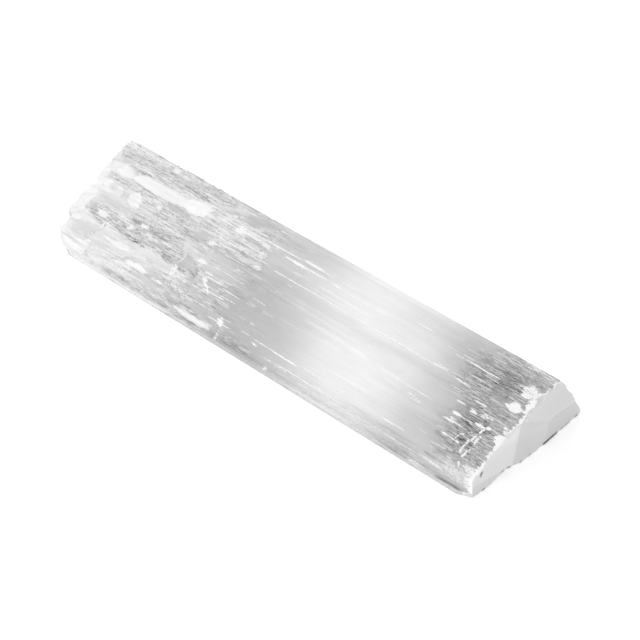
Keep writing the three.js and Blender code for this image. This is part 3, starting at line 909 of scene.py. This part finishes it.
def skin_faces(count):
    """The quads of the ring and of both ends, all facing out."""
    r, k = np.meshgrid(np.arange(LINES), np.arange(count - 1), indexing="ij")
    nxt = (r + 1) % LINES
    sides = np.stack([r * count + k, nxt * count + k, nxt * count + k + 1, r * count + k + 1], -1)
    faces = [sides.reshape(-1, 4)]
    for number, station in enumerate((0, count - 1)):
        first = LINES * count + number * (ACROSS - 1) * (UP - 1)
        index = np.zeros((ACROSS + 1, UP + 1), int)
        for i in range(ACROSS + 1):
            for j in range(UP + 1):
                edge = i in (0, ACROSS) or j in (0, UP)
                inner = first + (i - 1) * (UP - 1) + j - 1
                index[i, j] = loop_index(i, j) * count + station if edge else inner
        quads = np.stack([index[:-1, :-1], index[1:, :-1], index[1:, 1:], index[:-1, 1:]], -1)
        quads = quads if number else quads[..., ::-1]
        faces.append(quads.reshape(-1, 4))
    return np.concatenate(faces)


def wand_skin():
    """The wand's whole surface as one closed mesh wrapped on the CAD solid."""
    loop = section_loop()
    section = np.array(settle(loop, 0))
    over = around(section)
    far, near = line_ends(loop)
    near -= rim_teeth(over)
    far += far_teeth(section[:, 0], section[:, 1])
    plain = eased(sample_ring(loop, far, near))
    ring, marks = roughened(plain, section, far, near)
    far_cap, far_marks = cap(ring[:, 0, 1:], -1)
    near_cap, near_marks = cap(ring[:, -1, 1:], 1)
    places = np.concatenate([part.reshape(-1, 3) for part in (ring, far_cap, near_cap)])
    faces = skin_faces(ring.shape[1])
    mesh = bpy.data.meshes.new("selenite_skin")
    mesh.from_pydata((places * MM).tolist(), [], faces.tolist())
    for name in marks:
        values = [part[name].ravel() for part in (marks, far_marks, near_marks)]
        layer = mesh.attributes.new(name, "FLOAT", "POINT")
        layer.data.foreach_set("value", np.concatenate(values).astype(np.float32))
    mesh.shade_smooth()
    mesh.set_sharp_from_angle(angle=SHARP_ANGLE)
    piece = bpy.data.objects.new("selenite_skin", mesh)
    bpy.context.scene.collection.objects.link(piece)
    return piece


# ---- material

class Wire:
    """One output of a shader node. Arithmetic on wires makes the nodes that work it out."""

    def __init__(self, socket):
        self.socket, self.tree = socket, socket.id_data

    def maths(self, operation, other=0.0, clamp=False):
        return maths(self.tree, operation, self, other, clamp)

    def __add__(self, other):
        return self.maths("ADD", other)

    def __mul__(self, other):
        return self.maths("MULTIPLY", other)

    def __truediv__(self, other):
        return self.maths("DIVIDE", other)

    def __sub__(self, other):
        return self.maths("SUBTRACT", other)

    def __rsub__(self, other):
        return maths(self.tree, "SUBTRACT", other, self)

    __radd__, __rmul__ = __add__, __mul__


def add(tree, kind, settings=None, **inputs):
    """A node with its settings and inputs, each a value or a wire; _0 is the first input."""
    made = tree.nodes.new(kind)
    for name, value in (settings or {}).items():
        setattr(made, name, value)
    for name, value in inputs.items():
        socket = made.inputs[int(name[1:]) if name[0] == "_" else name]
        if isinstance(value, Wire):
            tree.links.new(value.socket, socket)
        else:
            socket.default_value = value
    return made


def maths(tree, operation, a, b, clamp=False):
    settings = {"operation": operation, "use_clamp": clamp}
    return Wire(add(tree, "ShaderNodeMath", settings, _0=a, _1=b).outputs[0])


def mark(tree, name):
    """One of the marks that the skin's points carry."""
    return Wire(add(tree, "ShaderNodeAttribute", {"attribute_name": name}).outputs["Fac"])


def joined(x, y, z=0.0):
    """A place from its three numbers."""
    return Wire(add(x.tree, "ShaderNodeCombineXYZ", _0=x, _1=y, _2=z).outputs[0])


def grey(value):
    """A colour of this lightness."""
    made = add(value.tree, "ShaderNodeCombineColor", _0=value, _1=value, _2=value)
    return Wire(made.outputs[0])


def channels(made):
    """The three numbers of a node's colour."""
    parts = add(made.id_data, "ShaderNodeSeparateColor", _0=Wire(made.outputs["Color"]))
    return [Wire(output) for output in parts.outputs]


def fade(value, low, high):
    """0 below low and 1 above high, smoothly."""
    made = add(value.tree, "ShaderNodeMapRange", {"interpolation_type": "SMOOTHSTEP"},
               _0=value, _1=low, _2=high)
    return Wire(made.outputs[0])


def drawn_out(places, stretch):
    """Places pressed together along the fibres, so that a pattern on them is drawn out."""
    made = add(places.tree, "ShaderNodeVectorMath", {"operation": "MULTIPLY"},
               _0=places, _1=(1 / stretch, 1, 1))
    return Wire(made.outputs[0])


def grain(places, stretch, scale, detail=2.0, rough=0.5):
    """Noise around 0 whose grains are drawn out along the fibres."""
    made = add(places.tree, "ShaderNodeTexNoise", Vector=drawn_out(places, stretch),
               Scale=scale, Detail=detail, Roughness=rough)
    return Wire(made.outputs["Fac"]) - 0.5


def flakes(places, stretch, scale):
    """Small split plates, each with its own lightness around 0."""
    cells = add(places.tree, "ShaderNodeTexVoronoi", {"feature": "F1", "distance": "CHEBYCHEV"},
                Vector=drawn_out(places, stretch), Scale=scale, Randomness=0.9)
    return channels(cells)[0] - 0.5


def chance(a, b, seed):
    """Three even random numbers from 0 to 1 for each pair of whole numbers."""
    return channels(add(a.tree, "ShaderNodeTexWhiteNoise", {"noise_dimensions": "3D"},
                        Vector=joined(a, b, seed)))


def scratches(along, across, lane, length, half_width, seed, share):
    """Thin straight marks along the fibres, 0 to 1. Each cell of lane by length may hold one,
    and a share of the cells does."""
    lanes = across / lane
    row = lanes.maths("FLOOR")
    run = along / length + chance(row, 0.5, seed)[0] * 9.0
    first, second, third = chance(row, run.maths("FLOOR"), seed)
    away = (lanes.maths("FRACT") - (second * 0.5 + 0.25)).maths("ABSOLUTE") * lane
    line = fade(away, half_width * 1.3, half_width * 0.5)
    reach = (run.maths("FRACT") - 0.5).maths("ABSOLUTE")
    ends = fade(reach - (third * 0.34 + 0.15), 0.0, -0.12)
    return line * ends * first.maths("LESS_THAN", share) * (third * 0.6 + 0.4)


def selenite_material():
    """Silky light grey gypsum, drawn from the marks that the skin carries."""
    material = bpy.data.materials.new("selenite")
    material.use_nodes = True
    tree = material.node_tree
    tone, chalk, grit, rough, snap, over = (
        mark(tree, name) for name in ("tone", "chalk", "grit", "rough", "snap", "over"))
    spot = Wire(add(tree, "ShaderNodeTexCoord").outputs["Object"])
    spot = add(tree, "ShaderNodeSeparateXYZ", _0=spot).outputs
    along, height = Wire(spot[0]) * (1 / MM), Wire(spot[2]) * (1 / MM)
    body = 1.0 - snap
    places = joined(along, over, height * 0.3)
    bent = joined(along, over + grain(places, 6, 0.8) * 0.5)

    # Fine texture: silky threads, small split plates and crumbs.
    silk = grain(places, 26, 3.2)
    thread = grain(places, 7, 5.0, 1)
    crumbs = grain(places, 2.4, 5.0, 3, 0.6)
    specks = grain(places, 1.3, 4.5, 1)
    wide = flakes(bent, 6.0, 0.8)
    small = flakes(bent, 9.0, 2.4)
    chips = flakes(places, 2.4, 3.8)
    gritty = grit * body
    torn = gritty * rough
    worn = gritty - torn
    flaky = rough * body * (0.06 + grit * 0.14)
    light = (tone + silk * (0.07 + gritty * 0.14) * body + thread * worn * 0.6
             + crumbs * (gritty * 0.34 + 0.04) + chips * torn * 0.16
             + specks * (torn * 0.5 + worn * 0.6) + wide * flaky + small * torn * 0.18)

    # Dark and white scratches along the fibres: long where plates have torn away, and short
    # and close together where the surface is only worn.
    dark = (scratches(along, over, 0.42, 6.5, 0.1, 3, torn * 0.6 - 0.1)
            + scratches(along, over, 0.32, 3.6, 0.07, 5, worn * 0.6 - 0.12)
            + scratches(along, over, 0.3, 2.0, 0.08, 7, torn * 0.6 - 0.12))
    fine = scratches(along, over, 0.46, 8.0, 0.11, 11, torn * 0.5)
    short = scratches(along, over, 0.36, 2.4, 0.09, 17, torn * 0.6 - 0.1)
    faint = scratches(along, over, 0.34, 4.5, 0.07, 19, worn * 0.45)
    long = scratches(along, over, 1.1, 16.0, 0.06, 23, 0.25)
    hair = fine + short + faint * 0.9 + long * 0.4

    # Chalky white where bruised, split and broken.
    bruise = fade(chalk + crumbs * 1.5 * fade(chalk, 0.0, 0.3), 0.25, 0.75)
    white = (hair * body).maths("MAXIMUM", bruise, clamp=True)
    colour = add(tree, "ShaderNodeMix", {"data_type": "RGBA"}, _0=white,
                 _6=grey(light - dark * 0.2), _7=grey(0.9 + crumbs * 0.25))

    # The gloss is drawn out across the fibres and dull where bruised; the finest relief is bump.
    gloss = 0.38 + white * 0.4 + grit * 0.15
    tangent = add(tree, "ShaderNodeTangent", {"direction_type": "RADIAL", "axis": "X"})
    relief = (crumbs * (gritty + 0.08) + wide * flaky * 3.0 + small * torn * 0.6
              + chips * torn * 0.5 + silk * 0.3 * body - dark * 0.5 + hair * 0.3)
    bump = add(tree, "ShaderNodeBump", Strength=0.6, Distance=0.12 * MM, Height=relief)

    shader = tree.nodes["Principled BSDF"]
    shader.inputs["IOR"].default_value = 1.52
    shader.inputs["Specular IOR Level"].default_value = 0.9
    shader.inputs["Anisotropic"].default_value = 1.0
    shader.inputs["Subsurface Weight"].default_value = 0.2
    shader.inputs["Subsurface Radius"].default_value = (1, 1, 1)
    shader.inputs["Subsurface Scale"].default_value = 1.2 * MM
    tree.links.new(colour.outputs[2], shader.inputs["Base Color"])
    tree.links.new(gloss.socket, shader.inputs["Roughness"])
    tree.links.new(tangent.outputs[0], shader.inputs["Tangent"])
    tree.links.new(bump.outputs[0], shader.inputs["Normal"])
    return material


# ---- stage, lights and camera

def aimed(made, target):
    """A light or camera turned to face the target."""
    away = Vector(target) - made.location
    made.rotation_euler = away.to_track_quat("-Z", "Y").to_euler()
    return made


def soft_light(name, place, target, size, power):
    data = bpy.data.lights.new(name, "AREA")
    data.shape = "RECTANGLE"
    data.size, data.size_y = size
    data.energy = power
    made = bpy.data.objects.new(name, data)
    bpy.context.scene.collection.objects.link(made)
    made.location = place
    return aimed(made, target)


def floor():
    """A plain pale floor, a hair below the wand."""
    size = 4.0
    mesh = bpy.data.meshes.new("floor")
    corners = [(-size, -size, 0), (size, -size, 0), (size, size, 0), (-size, size, 0)]
    mesh.from_pydata(corners, [], [(0, 1, 2, 3)])
    made = bpy.data.objects.new("floor", mesh)
    made.location.z = -0.05 * MM
    material = bpy.data.materials.new("floor")
    material.use_nodes = True
    shader = material.node_tree.nodes["Principled BSDF"]
    shader.inputs["Base Color"].default_value = (0.98, 0.98, 0.98, 1)
    shader.inputs["Roughness"].default_value = 0.8
    shader.inputs["Emission Color"].default_value = (1, 1, 1, 1)
    shader.inputs["Emission Strength"].default_value = 0.25
    mesh.materials.append(material)
    bpy.context.scene.collection.objects.link(made)


def studio():
    """Soft white light all round, with a long light mirrored as the bright band."""
    world = bpy.data.worlds.new("studio")
    world.use_nodes = True
    world.node_tree.nodes["Background"].inputs["Color"].default_value = (1, 1, 1, 1)
    world.node_tree.nodes["Background"].inputs["Strength"].default_value = 0.58
    bpy.context.scene.world = world
    bpy.context.scene.view_settings.view_transform = "Standard"
    band = Vector((20, 0, 10)) * MM
    soft_light("band", band + Vector((-0.5, 0.02, 0.866)) * 0.6, band, (0.7, 0.05), 1.15)
    soft_light("overhead", (0.0, 0.1, 0.9), (0, 0, 0), (0.9, 0.9), 0.8)
    soft_light("front", (0.55, -0.75, 0.45), (0, 0, 0), (0.7, 0.7), 3.0)
    soft_light("left", (-0.8, -0.1, 0.35), (-0.05, 0, 0), (0.5, 0.5), 0.6)


def camera():
    """A long lens looking down on the front side and the snapped end."""
    azimuth, elevation = math.radians(42.77), math.radians(39.3)
    back = Vector((math.sin(azimuth) * math.cos(elevation),
                   -math.cos(azimuth) * math.cos(elevation), math.sin(elevation)))
    target, distance = Vector((9.28, -2.55, 7.0)) * MM, 460.2
    data = bpy.data.cameras.new("camera")
    data.lens, data.sensor_width = 116.7, 36
    data.clip_start, data.clip_end = 0.01, 20
    made = bpy.data.objects.new("camera", data)
    bpy.context.scene.collection.objects.link(made)
    made.location = target + back * distance * MM
    aimed(made, target)
    bpy.context.scene.camera = made


def main():
    camera()
    floor()
    studio()
    skin = wand_skin()
    skin.data.materials.append(selenite_material())
    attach(skin, "root")
    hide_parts(NODE)


main()
